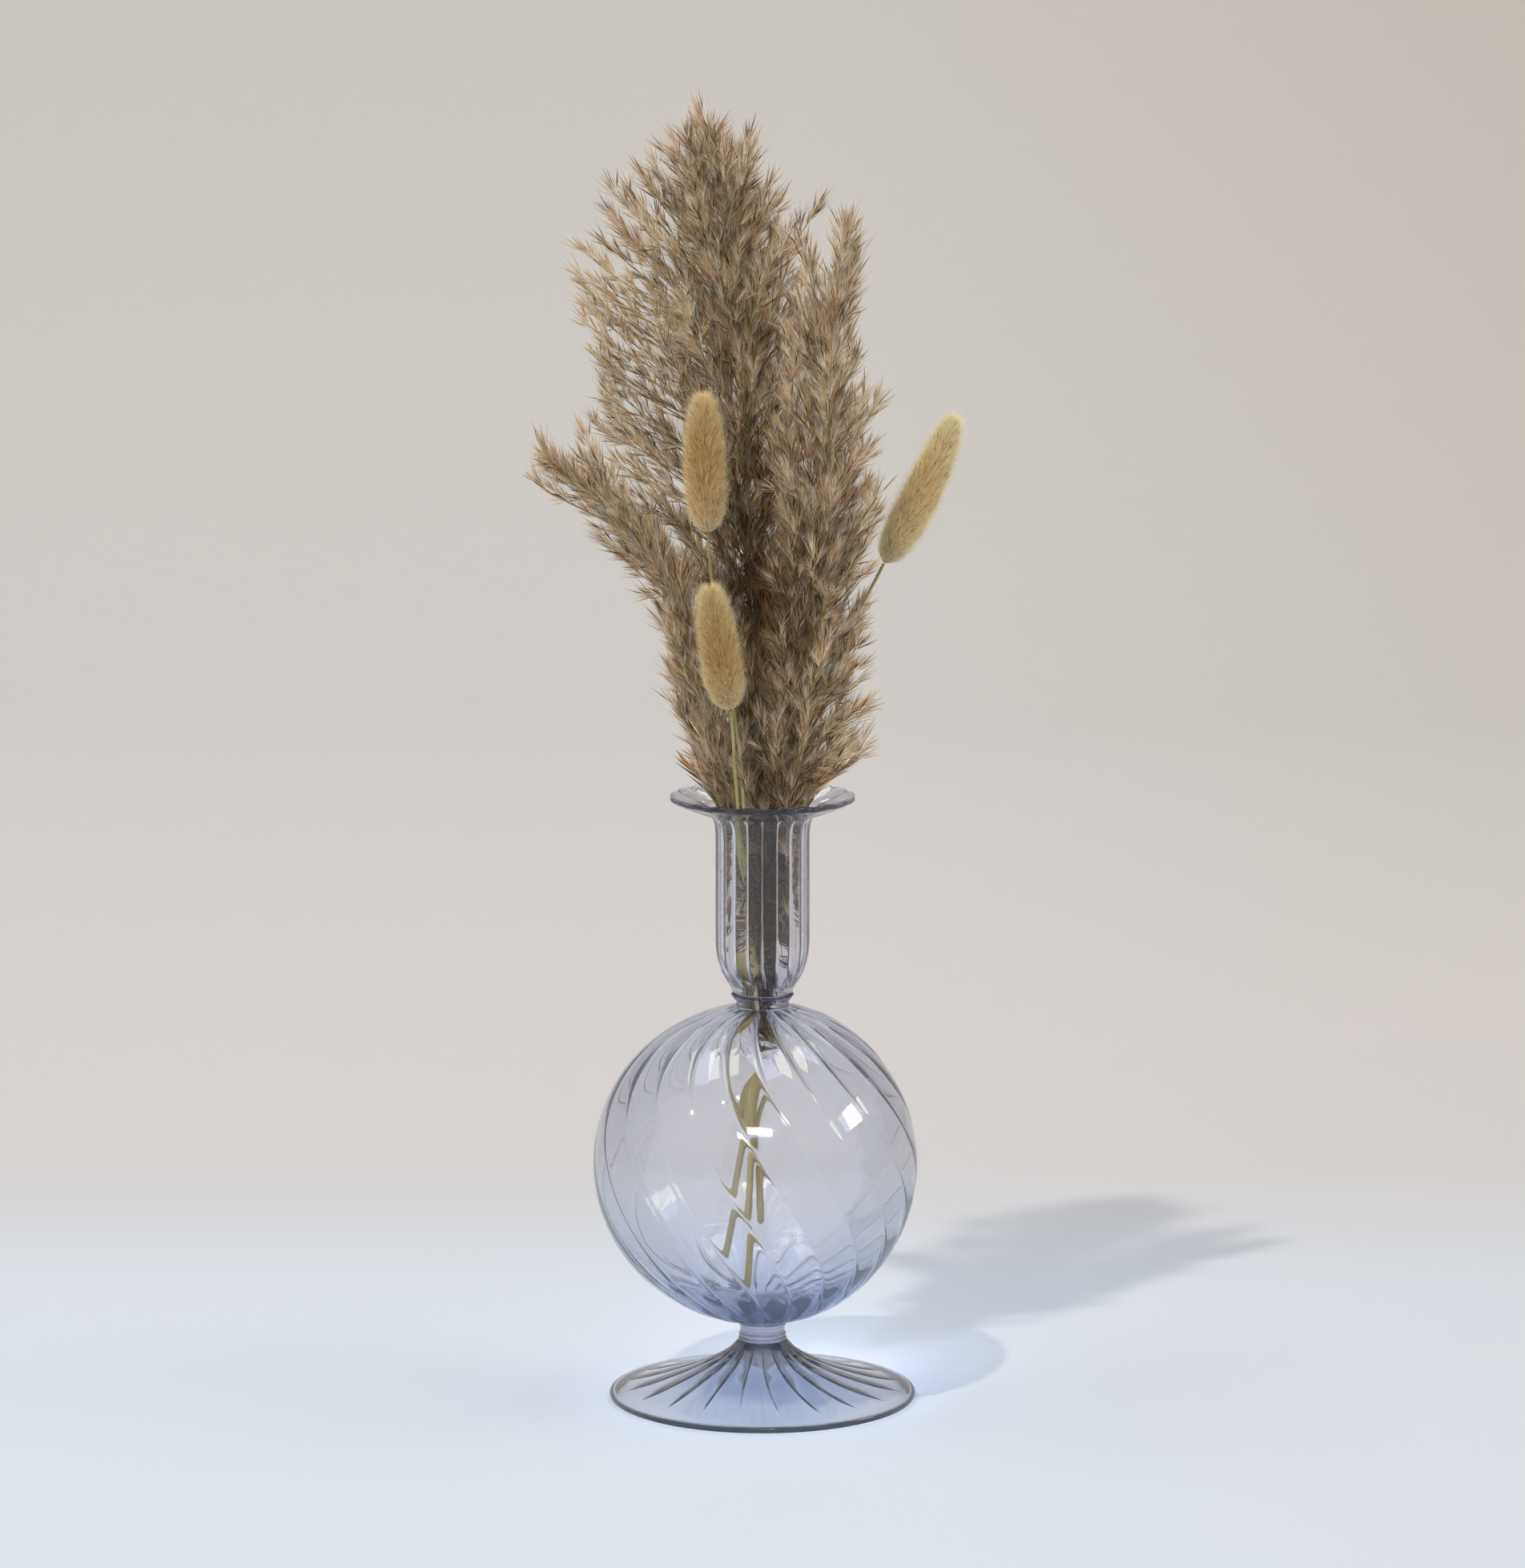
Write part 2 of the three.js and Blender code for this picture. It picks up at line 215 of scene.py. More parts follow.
# ============================================================================ mesh helpers
def make_mesh(name, points, faces, material_list, face_slots=None, smooth=True):
    """A mesh object from arrays; faces is an (n, 3) or (n, 4) array of point numbers."""
    mesh = bpy.data.meshes.new(name)
    count, sides = faces.shape
    mesh.vertices.add(len(points))
    mesh.vertices.foreach_set("co", np.ascontiguousarray(points, np.float32).ravel())
    mesh.loops.add(count * sides)
    mesh.loops.foreach_set("vertex_index", np.ascontiguousarray(faces, np.int32).ravel())
    mesh.polygons.add(count)
    mesh.polygons.foreach_set("loop_start", np.arange(0, count * sides, sides, dtype=np.int32))
    mesh.polygons.foreach_set("use_smooth", np.full(count, smooth))
    for material in material_list:
        mesh.materials.append(material)
    if face_slots is not None:
        mesh.polygons.foreach_set("material_index", np.ascontiguousarray(face_slots, np.int32))
    mesh.update(calc_edges=True)
    mesh.validate()
    piece = bpy.data.objects.new(name, mesh)
    bpy.context.scene.collection.objects.link(piece)
    return piece


def fade(value, low, high):
    """0 below low, 1 above high, and smooth between."""
    t = np.clip((value - low) / (high - low), 0, 1)
    return t * t * (3 - 2 * t)


def unit(v):
    return v / np.maximum(np.linalg.norm(v, axis=-1, keepdims=True), 1e-12)


def any_turn(count):
    """Random angles over about a whole turn."""
    return rng.uniform(0, 6.3, count)


def spline(points, step):
    """A smooth line through the points (Catmull-Rom), with a point about every step."""
    points = np.asarray(points, float)
    padded = np.vstack([2 * points[0] - points[1], points, 2 * points[-1] - points[-2]])
    out = []
    for a, b, c, d in zip(padded, padded[1:], padded[2:], padded[3:]):
        count = max(2, int(np.linalg.norm(c - b) / step))
        t = (np.arange(count) / count)[:, None]
        out.append(0.5 * (2 * b + (c - a) * t + (2 * a - 5 * b + 4 * c - d) * t**2
                          + (3 * b - a - 3 * c + d) * t**3))
    return np.vstack([*out, points[-1:]])


def bezier(a, b, c, d, count):
    """count points along each of n cubic curves, (n, count, 3), and the directions there."""
    t = np.linspace(0, 1, count)[None, :, None]
    a, b, c, d = (end[:, None, :] for end in (a, b, c, d))
    points = a * (1 - t) ** 3 + 3 * b * t * (1 - t) ** 2 + 3 * c * t**2 * (1 - t) + d * t**3
    return points, unit(np.gradient(points, axis=1))


def leaning(axis, angle, turn):
    """Unit vectors that lean away from axis by angle, to the side that turn picks."""
    helper = np.where(np.abs(axis[..., 2:]) < 0.9, (0.0, 0.0, 1.0), (1.0, 0.0, 0.0))
    side = unit(np.cross(axis, helper))
    across = side * np.cos(turn)[..., None] + np.cross(axis, side) * np.sin(turn)[..., None]
    return unit(axis * np.cos(angle)[..., None] + across * np.sin(angle)[..., None])


def along_curves(points, directions, spacing, start=0.0):
    """Places at about every spacing along (n, m, 3) curves: place, direction, share of the length, curve."""
    lengths = np.linalg.norm(np.diff(points, axis=1), axis=-1).sum(1)
    counts = np.maximum(1, (lengths * (1 - start) / spacing).astype(int))
    curve = np.repeat(np.arange(len(points)), counts)
    rank = np.concatenate([np.arange(c) for c in counts])
    share = start + (1 - start) * (rank + rng.uniform(0.3, 1.0, len(rank))) / counts[curve]
    place = share * (points.shape[1] - 1)
    below = np.clip(place.astype(int), 0, points.shape[1] - 2)
    rest = (place - below)[:, None]
    at = points[curve, below] * (1 - rest) + points[curve, below + 1] * rest
    toward = unit(directions[curve, below] * (1 - rest) + directions[curve, below + 1] * rest)
    return at, toward, share, curve


def tube_mesh(points, radius, sides=6):
    """Tubes along (n, m, 3) curves; radius is (n, m)."""
    direction = unit(np.gradient(points, axis=1))
    helper = np.where(np.abs(direction[..., 2:]) < 0.95, (0.0, 0.0, 1.0), (0.0, 1.0, 0.0))
    side = unit(np.cross(direction, helper))
    over = np.cross(direction, side)
    angle = np.arange(sides) * 2 * np.pi / sides
    ring = side[:, :, None] * np.cos(angle)[:, None] + over[:, :, None] * np.sin(angle)[:, None]
    shell = points[:, :, None] + ring * radius[:, :, None, None]
    n, m = points.shape[:2]
    grid = np.arange(n * m * sides).reshape(n, m, sides)
    a, b = grid[:, :-1], grid[:, 1:]
    faces = np.stack([a, np.roll(a, -1, 2), np.roll(b, -1, 2), b], -1).reshape(-1, 4)
    return shell.reshape(-1, 3), faces


def half_width(along, width):
    """Half of each width, square to along, at a random turn about it."""
    side = leaning(along, np.full(len(along), np.pi / 2), rng.uniform(0, TURN, len(along)))
    return side * (width[:, None] / 2)


def husk_mesh(root, along, length, width):
    """Pointed husks, folded along the middle: four points and two triangles each."""
    side = half_width(along, width)
    keel = np.cross(along, side) * 0.6
    middle = root + along * length[:, None] * 0.35
    point_way = leaning(along, rng.uniform(0, 0.08, len(root)), any_turn(len(root)))
    tip = root + point_way * length[:, None]
    points = np.stack([root, middle + side + keel, middle - side + keel, tip], 1).reshape(-1, 3)
    first = np.arange(len(root))[:, None, None] * 4
    return points, (first + np.array([[0, 1, 3], [0, 3, 2]])).reshape(-1, 3)


def hair_mesh(root, along, length, width):
    """Fine straight hairs, one long triangle each."""
    side = half_width(along, np.full(len(root), width))
    points = np.stack([root - side, root + side, root + along * length[:, None]], 1).reshape(-1, 3)
    return points, np.arange(len(root) * 3).reshape(-1, 3)


def joined(*meshes):
    """(points, faces, slots) of several meshes as one."""
    starts = np.cumsum([0, *[len(m[0]) for m in meshes[:-1]]])
    return (np.vstack([m[0] for m in meshes]), np.vstack([m[1] + s for m, s in zip(meshes, starts)]),
            np.concatenate([m[2] for m in meshes]))


# ============================================================================ glass pieces
def rib_wave():
    """Angles of the columns, and two heights there: flat ribs between sharp grooves, and round lobes."""
    across = 0.5 - 0.5 * np.cos(np.pi * np.arange(RIB_STEPS) / RIB_STEPS)
    angle = (np.arange(RIBS)[:, None] + across) * 2 * np.pi / RIBS
    groove = np.tile(1 - np.exp(-np.minimum(across, 1 - across) / GROOVE), (RIBS, 1))
    lobe = np.tile(np.sin(np.pi * across), (RIBS, 1))
    return angle.ravel(), groove.ravel(), lobe.ravel()


def body_twist(r, z):
    return np.maximum(0, TWIST_FROM_Z - z) * TWIST


def foot_twist(r, z):
    return 0.22 * np.maximum(0, r - 8 * MM) / FOOT_R


def turned_glass(name, outline, depth, twist, lean=lambda z: 0 * z, scallop=None, swell=None):
    """A turned body. outline: (r, z) rows from the axis to the axis, or a closed loop.

    The outline runs out and up the outside and back down the inside, so that its normal points out
    of the glass. depth: how deep the grooves are at each row; swell: how far round lobes stand out.
    """
    angle, wave, lobe = rib_wave()
    r, z = outline[:, 0], outline[:, 1]
    swell = 0 * r if swell is None else swell
    relief = depth[:, None] * (wave - GROOVE_MEAN) + swell[:, None] * (lobe - LOBE_MEAN)
    along = np.gradient(outline, axis=0)
    along /= np.maximum(np.linalg.norm(along, axis=1, keepdims=True), 1e-9)
    radius = r[:, None] + along[:, 1:] * relief
    height = z[:, None] - along[:, :1] * relief
    turned = angle + twist(r, z)[:, None]
    if scallop is not None:
        radius, height = scallop(radius, height, lobe)
    points = np.stack([radius * np.cos(turned) + lean(z)[:, None], radius * np.sin(turned), height], -1)
    rows, columns = radius.shape
    grid = np.arange(rows * columns).reshape(rows, columns)
    closed = r[0] > 1e-6
    upper = np.roll(grid, -1, 0) if closed else grid[1:]
    lower = grid if closed else grid[:-1]
    faces = np.stack([lower, np.roll(lower, -1, 1), np.roll(upper, -1, 1), upper], -1).reshape(-1, 4)
    piece = make_mesh(name, points.reshape(-1, 3), faces, [])
    if not closed:
        weld(piece)
    return piece


def weld(piece):
    """Joins the points that meet on the axis."""
    bpy.context.view_layer.objects.active = piece
    modifier = piece.modifiers.new("weld", "WELD")
    modifier.merge_threshold = 1e-7
    with bpy.context.temp_override(object=piece, active_object=piece):
        bpy.ops.object.modifier_apply(modifier="weld")


def solid_outline(points, step, low, high):
    """A smooth (r, z) outline in metres that starts and ends on the axis, between two heights."""
    outline = spline(points, step) * MM
    outline[:, 1] = np.clip(outline[:, 1], low, high)
    outline[[0, -1], 0] = 0
    return outline


def looped_outline(points, step, low, high):
    """The same for an outline that closes on itself."""
    outline = spline([*points, points[0]], step)[:-1] * MM
    outline[:, 1] = np.clip(outline[:, 1], low, high)
    return outline


def make_foot():
    high = COLUMN_LOW - SEAM
    hollow = [(0, 15.2), (2.5, 15.0), (5, 13.8), (7.5, 12.1), (11, 10.3), (15, 8.6), (22, 6.3),
              (28, 4.3), (34, 2.6), (40, 1.15), (42.6, 0.35), (43.4, 0.02)]
    edge = [(44.2, 0.12), (44.9, 0.6), (45.1, 1.3), (44.8, 2.0), (44.0, 2.35), (42.6, 2.5)]
    top = [(40, 2.95), (34, 4.4), (28, 6.15), (22, 8.2), (17, 10.2), (13, 12.2), (10, 14.3), (8.2, 16.2)]
    neck = [(7.2, high / MM - 0.15), (6.9, high / MM), (6, high / MM), (0, high / MM)]
    outline = solid_outline([*hollow, *edge, *top, *neck], 0.7, 0, high)
    r = outline[:, 0]
    on_top = np.arange(len(r)) > np.argmax(r)
    strength = fade(r, 8 * MM, 11 * MM) * (1 - fade(r, 30 * MM, 42 * MM))
    depth = np.where(on_top, 0.28, 0) * MM * strength
    swell = np.where(on_top, 0.22, 0.05) * MM * strength
    return turned_glass("foot_glass", outline, depth, foot_twist, swell=swell)


def make_lower_stem():
    low, high = COLUMN_LOW / MM, COLUMN_HIGH / MM
    points = [(0, low), (6, low), (7.0, low + 0.05), (7.15, low + 0.4), (6.95, low + 0.8),
              (6.6, low + 1.1), (6.95, low + 1.5), (6.95, low + 1.9), (6.6, low + 2.3),
              (6.55, high - 1.6), (6.6, high - 1.1), (7.0, high - 0.7), (7.0, high - 0.25),
              (6.6, high), (5.5, high), (0, high)]
    outline = solid_outline(points, 0.2, low * MM, high * MM)
    return turned_glass("lower_stem_glass", outline, 0 * outline[:, 0], body_twist)


def make_ball():
    radius, centre, bore = 47.5 * MM, 70.3 * MM, 6.2 * MM
    wall, pool = 1.35 * MM, 3.6 * MM     # the glass pools at the bottom
    low, high = BALL_LOW, BALL_HIGH
    arc_rows = 130
    outer_turn = np.linspace(math.asin((low + 0.4 * MM - centre) / radius),
                             math.asin((high - 0.3 * MM - centre) / radius), arc_rows)
    outer = np.stack([radius * np.cos(outer_turn), centre + radius * np.sin(outer_turn)], -1)
    inside = radius - wall
    inner_turn = np.linspace(math.acos(bore / inside), -math.pi / 2, arc_rows)
    inner = np.stack([inside * np.cos(inner_turn), inside * np.sin(inner_turn)], -1)
    squash = np.where(inner[:, 1] < 0, (radius - pool) / inside, 1)
    inner[:, 1] = centre + inner[:, 1] * squash
    inner[-1, 0] = 0
    base = np.array([[0, low], [4 * MM, low], [6.4 * MM, low], [7.3 * MM, low + 0.1 * MM]])
    lip = np.array([[7.9 * MM, high - 0.1 * MM], [7.6 * MM, high],
                    [6.6 * MM, high], [6.25 * MM, high - 0.1 * MM]])
    outline = np.vstack([base, outer, lip, inner])
    z = outline[:, 1]
    is_inner = np.arange(len(z)) >= len(base) + len(outer) + len(lip)
    near_top = fade(z, 84 * MM, 112 * MM)
    near_base = 1 - fade(z, 27 * MM, 40 * MM)
    clear_axis = fade(outline[:, 0], 6.5 * MM, 12 * MM)
    depth = np.where(is_inner, 0.08 * near_top + 0.9 * near_base,
                     0.1 + 0.34 * near_top + 0.35 * near_base) * MM * clear_axis
    swell = np.where(is_inner, 0.12 * near_top + 1.0 * near_base,
                     0.06 + 0.3 * near_top + 0.1 * near_base) * MM * clear_axis

    def lean(z):
        """The blown ball sits a little to the left of its two ends."""
        t = np.clip((z - low) / (high - low), 0, 1)
        return -2.1 * MM * (1 - (2 * t - 1) ** 4)

    return turned_glass("ball_glass", outline, depth, body_twist, lean, swell=swell)


def make_waist_ring():
    low, high = BALL_HIGH / MM + SEAM / MM, RING_HIGH / MM
    points = [(6.2, low + 0.2), (6.5, low), (7.4, low), (7.9, low + 0.25), (7.75, low + 0.9),
              (7.7, low + 1.5), (7.95, low + 1.95), (8.35, low + 2.2), (8.75, low + 2.7),
              (8.8, high - 0.35), (8.4, high), (7.2, high), (6.5, high), (6.2, high - 0.2),
              (6.2, (low + high) / 2)]
    outline = looped_outline(points, 0.2, low * MM, high * MM)
    return turned_glass("waist_ring_glass", outline, 0 * outline[:, 0], body_twist)


def make_waist_trail():
    """The dark thread of glass wound round the top of the ring."""
    turn = np.linspace(0, 2 * np.pi, 25)[:-1]
    bead = np.stack([8.7 + 0.5 * np.cos(turn), RING_HIGH / MM - 0.45 + 0.42 * np.sin(turn)], -1) * MM
    return turned_glass("waist_trail", bead, 0 * turn, body_twist)


def make_neck_cup():
    low, top = RING_HIGH / MM + SEAM / MM, LIP_Z / MM
    outside = [(8.5, low + 0.05), (8.9, low + 0.5), (9.5, 123.3), (10.6, 125.2), (12.1, 128.2),
               (13.1, 131.4), (13.6, 134.6), (13.75, 138), (13.75, 150), (13.75, 162), (13.75, 168),
               (14.1, 171.6), (15.0, 173.4), (17.2, 174.6), (22, 176.5), (25.4, 177.8)]
    edge = [(26.5, 178.2), (27.1, 178.7), (27.15, 179.3), (26.8, 179.8), (26.2, top), (25.5, 179.85)]
    inside = [(24.4, 179.4), (20.5, 177.9), (16.2, 176.5), (13.6, 174.9), (12.2, 172.2), (11.95, 169),
              (11.9, 160), (11.9, 148), (11.9, 137), (11.5, 132.6), (10.1, 128.8), (8.0, 125.6),
              (6.5, 123.2), (6.2, low + 0.4), (6.5, low), (7.6, low)]
    outline = looped_outline([*outside, *edge, *inside], 0.55, low * MM, top * MM)
    r, z = outline.T
    is_inner = np.arange(len(r)) > np.argmax(z)
    on_wall = fade(z, 123 * MM, 128 * MM) * (1 - fade(r, 15 * MM, 20 * MM))
    depth = np.where(is_inner, 0, 0.6) * MM * on_wall
    swell = np.where(is_inner, 0.1, 0.2) * MM * on_wall

    def scallop(radius, height, lobe):
        """The ribs run out over the lip and ripple its edge."""
        out = fade(radius, 14.5 * MM, 19 * MM)
        is_rim = fade(radius, 24.5 * MM, 26 * MM)
        sag = (lobe - 1) * out * (0.9 + 0.3 * is_rim) * MM * np.where(is_inner, 1, 0.4)[:, None]
        return radius + 0.8 * MM * (lobe - 1) * is_rim, np.minimum(height + sag, top * MM)

    return turned_glass("neck_cup_glass", outline, depth, body_twist, scallop=scallop, swell=swell)


def make_vase():
    lilac = (0.31, 0.395, 0.72)
    vase = glass_material("vase_glass", lilac, 92, FILM_NM)
    foot = glass_material("foot_glass", (0.36, 0.385, 0.42), 260)
    cup = glass_material("cup_glass", (0.42, 0.40, 0.57), 88)
    stem = glass_material("stem_glass", lilac, 55)
    ring = glass_material("ring_glass", (0.28, 0.33, 0.66), 90)
    trail = glass_material("trail_glass", (0.16, 0.18, 0.50), 1600)
    # what makes it, the CAD node that it replaces, its look and its slot
    for make, node, look, slot in ((make_foot, "foot", foot, "vase_glass"),
                                   (make_lower_stem, "lower_stem", stem, "ring_glass"),
                                   (make_ball, "ball", vase, "vase_glass"),
                                   (make_waist_ring, "waist_ring", ring, "ring_glass"),
                                   (make_waist_trail, None, trail, "ring_glass"),
                                   (make_neck_cup, "neck_cup", cup, "vase_glass")):
        piece = make()
        piece.data.materials.append(look)
        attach(piece, "vase")
        if node:
            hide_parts(node)


# ============================================================================ reeds
# rachis: the line of the plume's main stem, from low in the cup to its tip.
# tips: side branches listed for the outline: the height at which one leaves the rachis, and
#   x, y, z of its end.
# reach: (height, how far the other branches stand out) rows; fill: how many of those there are;
#   depth: how far they stand out from front to back, as a share of that.
# in_cup: how far, from and to, the short branches in the cup stand out; behind: whether those keep
#   to the back; back: how far the fluff in the cup is moved back, or below 0 forward.
REEDS = {
    "reed_tall": {
        "rachis": [(0, 0.5, 134), (-2.0, 4, 165), (-2.8, 5.5, 180), (-4, 9, 205), (-4, 14, 240),
                   (-5, 17, 280), (-7, 17, 315), (-11, 15, 345), (-17, 14, 373)],
        "tips": [(340, -10, 14, 364), (335, -24, 12, 366), (325, -31, 15, 361), (312, -42, 10, 353),
                 (302, -43, 17, 346), (296, -50, 8, 336), (286, -50, 16, 325), (276, -50, 5, 316),
                 (268, -46, 12, 304), (260, -44, 7, 295), (252, -41, 14, 285), (250, -36, 10, 274),
                 (350, -17, 14, 375), (325, -3, 17, 365), (322, 1, 13, 354), (300, 4, 20, 342),
                 (290, 7, 16, 332), (278, 10, 12, 316), (250, 6, 10, 288), (204, -13, 7, 240),
                 (211, -18, 9, 248), (217, -23, 11, 255), (224, -29, 8, 264), (206, 4, 5, 236),
                 (214, 5, 8, 246), (222, 6, 6, 258), (196, 3, 4, 226)],
        "reach": [(133, 6), (165, 8), (185, 14), (205, 18), (235, 19), (265, 28), (300, 30),
                  (325, 24), (345, 11.5), (358, 6), (370, 2)],
        "fill": 180, "depth": 0.7, "in_cup": (6, 24), "behind": False, "back": -1.6,
    },
    "reed_right": {
        "rachis": [(0.5, 2, 134), (4.9, 2.1, 165), (6.8, 1.2, 180), (11, -1, 200), (14, -3, 230),
                   (18, -5, 270), (20, -5, 310), (24, -5, 347)],
        "tips": [(300, 12, -4, 338), (318, 24, -4, 345), (285, 17, -8, 316), (290, 9, -2, 322),
                 (270, 9, -7, 304), (272, 21, -3, 302), (256, 26, -6, 288), (252, 29, -1, 281),
                 (242, 29, -6, 270), (232, 30, -2, 259), (222, 29, -8, 246), (211, 28, -4, 234),
                 (203, 27, -9, 224), (196, 26, -3, 213), (188, 26, -10, 203), (182, 23, -5, 194),
                 (177, 19, -10, 185), (205, 7, -8, 238), (198, 5, -9, 228), (190, 6, -10, 218),
                 (184, 5, -9, 208), (218, 8, -7, 250), (252, 7, -7, 286), (240, 6, -4, 274),
                 (229, 7, -6, 262)],
        "reach": [(133, 6), (165, 8), (185, 14), (205, 17), (230, 18), (260, 17), (285, 11),
                  (305, 6), (322, 3), (338, 1)],
        "fill": 126, "depth": 0.9, "in_cup": (6, 24), "behind": False, "back": -1.6,
    },
    "reed_left": {
        "rachis": [(-1, -1, 134), (-7, -1.3, 165), (-9, -1.2, 180), (-15, 1, 205), (-21, 2.2, 228),
                   (-28, 2.4, 244), (-39, 2.4, 258), (-53, 2.4, 270), (-65, 2.4, 279)],
        "tips": [(250, -51, 3, 283), (254, -65, 2, 280), (250, -46, 4, 262), (242, -39, 5, 254),
                 (232, -32, 1, 249), (216, -27, 5, 240), (206, -26, -1, 233), (198, -26, 3, 222),
                 (190, -24, 1, 212), (182, -17, 3, 200), (178, -18, -2, 190), (174, -16, 2, 183),
                 (238, -38, 0, 266), (230, -33, 4, 259), (222, -30, -1, 251), (214, -25, 3, 244)],
        "reach": [(133, 6), (165, 8), (185, 11), (205, 10), (225, 7), (240, 4), (255, 3), (268, 2),
                  (279, 1)],
        "fill": 90, "depth": 0.8, "in_cup": (2, 9), "behind": True, "back": 3.0,
    },
}
IN_PAINTED_SHADE = 6                    # the material slot of the darkest silk, painted shade in a strip down the cup


def gathered(points, back):
    """Squeezes what stands in the cup together, as its bore does, and lets it spread over the lip."""
    heights = np.array([118, 128, 134, 164, 171, 178, 186, 200]) * MM
    rooms = np.array([3.6, 4.8, 9.6, 10.2, 10.6, 14.5, 21.0, 80.0]) * MM
    room = np.interp(points[..., 2], heights, rooms)
    far = np.linalg.norm(points[..., :2], axis=-1) / room
    held = np.where(far < 0.6, far, 0.6 + 0.4 * np.tanh((far - 0.6) / 0.4))
    out = points.copy()
    out[..., :2] *= (held / np.maximum(far, 1e-9))[..., None]
    above_waist = fade(out[..., 2], 116 * MM, 126 * MM)
    below_lip = 1 - fade(out[..., 2], 166 * MM, 180 * MM)
    out[..., 1] += back * above_waist * below_lip
    return out


def on_rachis(rachis, height):
    """Where the rachis is at each height."""
    order = np.argsort(rachis[:, 2])
    return np.stack([np.interp(height, rachis[order, 2], rachis[order, i]) for i in range(3)], -1)


def make_boughs(rachis, plan):
    """Arching side branches (n, 12, 3) of a reed plume, and the directions along them."""
    chosen = np.array(plan["tips"], float)
    # beside each listed branch two more, about 8 mm lower
    near = np.repeat(chosen, 2, 0) * (1, 0.96, 1, 1)
    near += rng.normal(0, (5, 2.5, 3.5, 2.5), near.shape) - (8, 0, 0, 8)
    chosen = np.vstack([chosen, near]) * MM
    # the rest: they fill the plume, hang through the waist, or stand short in the cup
    reach, fill = np.array(plan["reach"]), plan["fill"]
    low, high = reach[0][0], reach[-1][0]
    start = low + (high - low) * ((np.arange(fill) + rng.uniform(0, 1, fill)) / fill) ** 1.3
    start = np.concatenate([start, np.linspace(92, 112, STRANDS), np.linspace(118, 180, NECK_BOUGHS)])
    count = len(start)
    out = np.interp(start, *reach.T) * rng.uniform(0.35, 1.0, count)
    short = np.arange(count) >= fill + STRANDS
    bulge = np.interp(start[short], [118, 140, 165, 180], [0.5, 1, 0.8, 0.35])
    out[short] = rng.uniform(*plan["in_cup"], NECK_BOUGHS) * bulge
    turn = np.arange(count) * GOLDEN_ANGLE + rng.uniform(-0.4, 0.4, count)
    if plan["behind"]:
        turn[start < 172] %= np.pi
    rise = np.minimum(9 + out * rng.uniform(0.9, 1.6, count),
                      (rachis[:, 2].max() / MM - start) * rng.uniform(0.35, 0.95, count))
    centre_end = on_rachis(rachis, (start + rise) * MM)
    offset = np.stack([np.cos(turn), np.sin(turn) * plan["depth"], 0 * turn], -1) * out[:, None] * MM
    ends = np.vstack([chosen[:, 1:], centre_end + offset])
    starts = on_rachis(rachis, np.concatenate([chosen[:, 0], start * MM]))
    # each rises along the rachis, arches out, and droops or lifts a little at its end
    up = unit(on_rachis(rachis, starts[:, 2] + 2 * MM) - starts)
    span = np.linalg.norm(ends - starts, axis=1, keepdims=True)
    outward = unit(ends - starts)
    first = starts + unit(up + outward * 0.7) * span * 0.38
    droop = np.array([0, 0, 1.0]) * rng.uniform(-0.15, 0.25, (len(ends), 1))
    second = ends - unit(outward + droop) * span * 0.3
    return bezier(starts, first, second, ends, 12)


def make_twigs(boughs, bough_way):
    """Twigs (n, 4, 3) off the boughs, the directions along them, and the bough that each is on."""
    at, way, share, bough = along_curves(boughs, bough_way, TWIG_SPACING, 0.05)
    count = len(at)
    twig_way = leaning(way, rng.uniform(0.2, 0.65, count) * (1 - 0.5 * share), any_turn(count))
    twig_way = unit(twig_way + np.array([0, 0, 0.15]))
    bough_span = np.linalg.norm(boughs[:, -1] - boughs[:, 0], axis=1)
    stout = np.clip(bough_span / (30 * MM), 0.35, 1)[bough]
    span = (rng.uniform(5, 11, count) * stout * np.clip(1.15 - 1.05 * share, 0.12, 1) * MM)[:, None]
    end = at + twig_way * span
    twigs, directions = bezier(at, at + way * span * 0.3, end - twig_way * span * 0.3, end, 4)
    return twigs, directions, bough


def make_spikelets(root, axis):
    """The husks and the silky hairs of the spikelets, as two (points, faces) meshes."""
    count = len(root)
    plane = rng.uniform(0, TURN, count)
    fan = np.tile(np.linspace(-0.34, 0.34, HUSKS), count) + rng.normal(0, 0.06, count * HUSKS)
    husk_axis = leaning(np.repeat(axis, HUSKS, 0), fan, np.repeat(plane, HUSKS))
    husk_root = np.repeat(root, HUSKS, 0) + husk_axis * rng.uniform(0, 2.6, (count * HUSKS, 1)) * MM
    husks = husk_mesh(husk_root, husk_axis, rng.uniform(5, 9, count * HUSKS) * MM,
                      rng.uniform(0.26, 0.46, count * HUSKS) * MM)
    silk_axis = leaning(np.repeat(axis, SILKS, 0), rng.uniform(0.05, 0.62, count * SILKS),
                        any_turn(count * SILKS))
    up_axis = np.repeat(axis, SILKS, 0) * rng.uniform(0, 4, (count * SILKS, 1)) * MM
    silk_root = np.repeat(root, SILKS, 0) + up_axis
    silk = hair_mesh(silk_root, silk_axis, rng.uniform(4, 8, count * SILKS) * MM, SILK_WIDTH)
    return husks, silk


